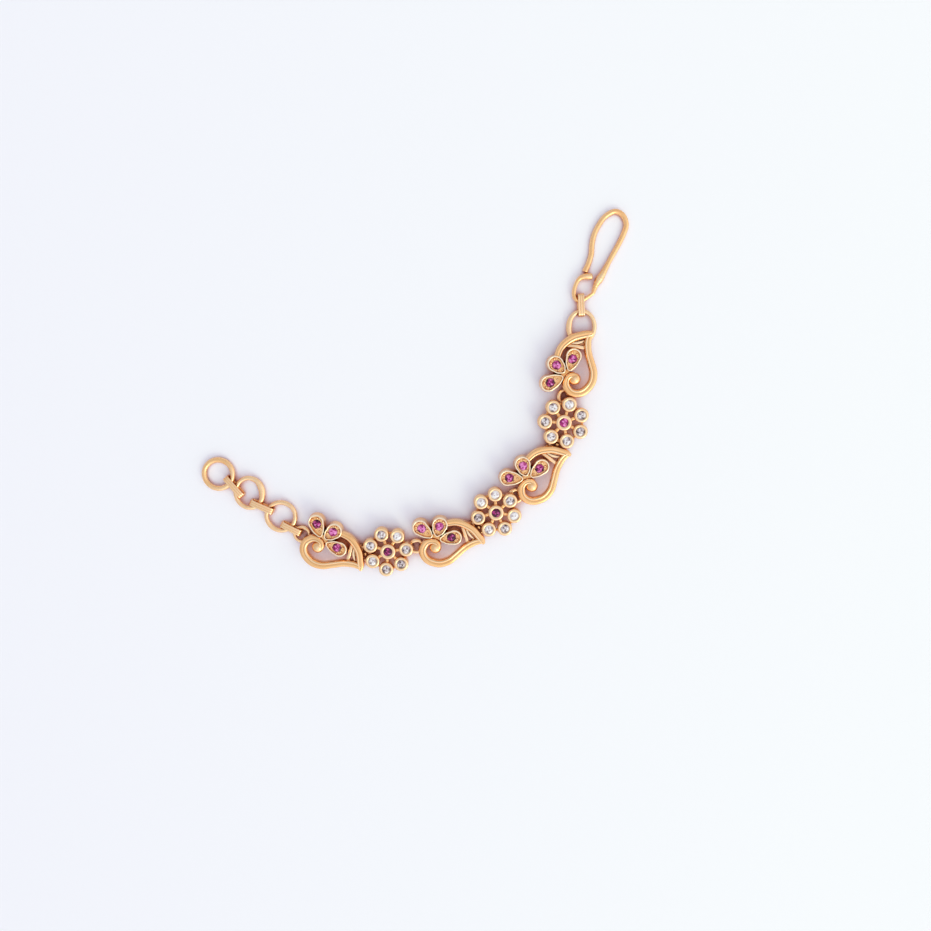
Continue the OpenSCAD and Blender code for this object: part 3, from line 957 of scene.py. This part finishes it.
hook = {
    # x, y, z, wire radius and how strongly it is wound, from the cut end of the eye to the free tip
    "rows": ((39.16, 25.84, 1.0, 0.34, 0), (39.02, 25.85, 1.0, 0.6, 0), (38.6, 25.88, 1.0, 0.68, 0),
             (37.9, 25.92, 1.0, 0.7, 0), (37.15, 25.78, 1.0, 0.6, 0), (36.4, 25.4, 1.0, 0.48, 0),
             (35.8, 24.55, 1.0, 0.44, 0), (35.34, 23.08, 1.0, 0.45, 0), (35.37, 21.8, 1.0, 0.46, 0),
             (36.0, 20.95, 1.0, 0.46, 0), (37.0, 20.85, 1.0, 0.45, 0), (38.0, 21.4, 1.0, 0.4, 0),
             (38.95, 22.05, 1.0, 0.38, 0), (39.4, 22.45, 1.0, 0.42, 0), (39.6, 23.1, 0.98, 0.47, 0.4),
             (39.88, 23.9, 0.95, 0.56, 1), (40.25, 24.65, 0.93, 0.72, 1), (40.62, 25.25, 0.92, 0.87, 1),
             (41.15, 26.1, 0.9, 0.76, 1), (41.68, 27.05, 0.86, 0.64, 0.8), (42.12, 27.95, 0.8, 0.57, 0),
             (42.7, 29.05, 0.7, 0.53, 0), (43.45, 30.43, 0.6, 0.55, 0), (44.66, 32.67, 0.58, 0.56, 0),
             (45.64, 34.77, 0.58, 0.56, 0), (46.15, 36.7, 0.58, 0.57, 0), (45.35, 38.58, 0.58, 0.56, 0),
             (43.62, 39.36, 0.58, 0.56, 0), (41.6, 38.28, 0.58, 0.56, 0), (40.27, 36.48, 0.58, 0.56, 0),
             (39.4, 34.65, 0.58, 0.56, 0), (38.97, 32.54, 0.58, 0.57, 0), (38.88, 30.56, 0.6, 0.57, 0),
             (38.32, 28.6, 0.65, 0.58, 0), (37.83, 27.5, 0.7, 0.6, 0), (37.6, 27.02, 0.72, 0.64, 0),
             (37.52, 26.86, 0.72, 0.5, 0)),
    "steps": 8,
    "sides": 20,
    "turnPitch": 0.6,     # mm from one turn of the winding to the next
    "turnDepth": 0.03,
}


def makeHook():
    path = smoothRows(hook["rows"], hook["steps"])
    points = [Vector(row[:3]) for row in path]
    halves, travelled = [], 0
    for i, (_, _, _, wire, winding) in enumerate(path):
        travelled += (points[i] - points[max(i - 1, 0)]).length
        wound = winding * hook["turnDepth"] * math.sin(2 * math.pi * travelled / hook["turnPitch"])
        halves.append((wire + wound, wire + wound))
    bm = bmesh.new()
    sweep(bm, roundSection(hook["sides"]), pathFrames(points, halves))
    finishPiece(bm, "earHook", "gold", goldWire, ["ear_hook"], shine=wearAndSheen["onWire"])


makeHook()
print("hook made")


# Table and light

table = {
    "size": 4.0,           # m
    "roughness": 0.8,
    # painted light: the floor is painted a little lighter and less blue towards the right
    "left": (0.885, 0.885, 0.945, 1),
    "right": (0.93, 0.945, 0.96, 1),
    "reach": 0.1,          # m from the middle to where each is full
    # painted shade by how open the place is: red-brown in the narrow gaps under the metal, then pink, then
    # none
    "shadeReach": 0.0034,
    "shadeSamples": 16,
    "shade": ((0.2, (0.26, 0.06, 0.03, 1)), (0.27, (0.36, 0.12, 0.07, 1)), (0.33, (0.90, 0.44, 0.34, 1)),
              (0.48, (0.86, 0.66, 0.64, 1)), (0.66, (1, 0.98, 1, 1))),
    # painted light: wider round the metal the floor is tinted lighter and cooler
    "haloReach": 0.012,
    "haloSamples": 4,
    "halo": ((0.6, (1.085, 1.09, 1.19, 1)), (0.98, (1, 1, 1, 1))),
}


def makeTable():
    bm = bmesh.new()
    bmesh.ops.create_grid(bm, x_segments=1, y_segments=1, size=table["size"] / 2)
    mesh = bpy.data.meshes.new("tableTop")
    bm.to_mesh(mesh)
    bm.free()
    top = bpy.data.objects.new("tableTop", mesh)
    bpy.context.scene.collection.objects.link(top)
    material, nodes, links = newMaterial("tablePaint")
    shader = nodes["Principled BSDF"]
    place, split = nodes.new("ShaderNodeTexCoord"), nodes.new("ShaderNodeSeparateXYZ")
    links.new(place.outputs["Object"], split.inputs["Vector"])
    across = addRange(nodes, links, split.outputs["X"], 0.0, 1.0, -table["reach"], table["reach"])
    colour = addMix(nodes, links, across, table["left"], table["right"])
    for tint in ("shade", "halo"):
        paintedShading = addPaintedShading(nodes, links, table[tint + "Reach"], table[tint + "Samples"], table[tint])
        colour = addMix(nodes, links, 1.0, colour, paintedShading, "MULTIPLY")
    links.new(colour, shader.inputs["Base Color"])
    shader.inputs["Roughness"].default_value = table["roughness"]
    mesh.materials.append(material)


studio = {
    "tint": (0.99, 1.022, 1.03, 1),
    "farTint": (0.99, 0.985, 1.03, 1),
    "windowSide": (0.72, -0.69, 0),
    # brightness by how far a direction lies to the window side, from -1 to 1 put on 0 to 1
    "ramp": ((0.0, 0.8), (0.35, 0.82), (0.5, 0.9), (0.68, 1.23), (0.85, 1.56), (1.0, 1.68)),
    "low": 0.95,          # share of it that is left at the level of the table
    "lowTo": 0.35,        # height of a direction where it is full
    "strength": 0.8641,
    # the bright sheet overhead: height of a direction where it starts and where it is full
    "sheetFrom": 0.80,
    "sheetFull": 0.93,
    "sheetPower": 0.05,
    "keyFrom": (0.55, -0.68, 0.62),
    "keyWidth": 26,       # degrees across, so that shadows are soft
    "keyPower": 0.5,
    "keyTint": (1.0, 1.15, 0.72),
}


def makeKeyLight():
    data = bpy.data.lights.new("windowLight", "SUN")
    data.angle = math.radians(studio["keyWidth"])
    data.energy = studio["keyPower"]
    data.color = studio["keyTint"]
    lamp = bpy.data.objects.new("windowLight", data)
    lamp.rotation_mode = "QUATERNION"
    lamp.rotation_quaternion = Vector(studio["keyFrom"]).to_track_quat("Z", "Y")
    bpy.context.scene.collection.objects.link(lamp)


def makeStudioWorld():
    world = bpy.data.worlds.new("studio")
    world.use_nodes = True
    nodes, links = world.node_tree.nodes, world.node_tree.links
    way = nodes.new("ShaderNodeTexCoord")
    split = nodes.new("ShaderNodeSeparateXYZ")
    links.new(way.outputs["Generated"], split.inputs["Vector"])
    aside = nodes.new("ShaderNodeVectorMath")
    aside.operation = "DOT_PRODUCT"
    links.new(way.outputs["Generated"], aside.inputs[0])
    aside.inputs[1].default_value = studio["windowSide"]
    side = addRange(nodes, links, aside.outputs["Value"], 0.0, 1.0, -1.0, 1.0)
    bright = addRamp(nodes, links, side, studio["ramp"])
    level = addRange(nodes, links, split.outputs["Z"], studio["low"], 1.0, 0.0, studio["lowTo"])
    bright = addMix(nodes, links, 1.0, bright, level, "MULTIPLY")
    sheet = addRange(nodes, links, split.outputs["Z"], 0.0, studio["sheetPower"], studio["sheetFrom"],
                     studio["sheetFull"])
    total = nodes.new("ShaderNodeMath")
    links.new(bright, total.inputs[0])
    links.new(sheet, total.inputs[1])
    tint = addMix(nodes, links, side, studio["farTint"], (1, 1, 1, 1))
    colour = addMix(nodes, links, 1.0, total.outputs["Value"], studio["tint"], "MULTIPLY")
    colour = addMix(nodes, links, 1.0, colour, tint, "MULTIPLY")
    links.new(colour, nodes["Background"].inputs["Color"])
    nodes["Background"].inputs["Strength"].default_value = studio["strength"]
    bpy.context.scene.world = world


makeTable()
makeKeyLight()
makeStudioWorld()
bpy.context.scene.view_settings.view_transform = "Standard"
print("stage lit")
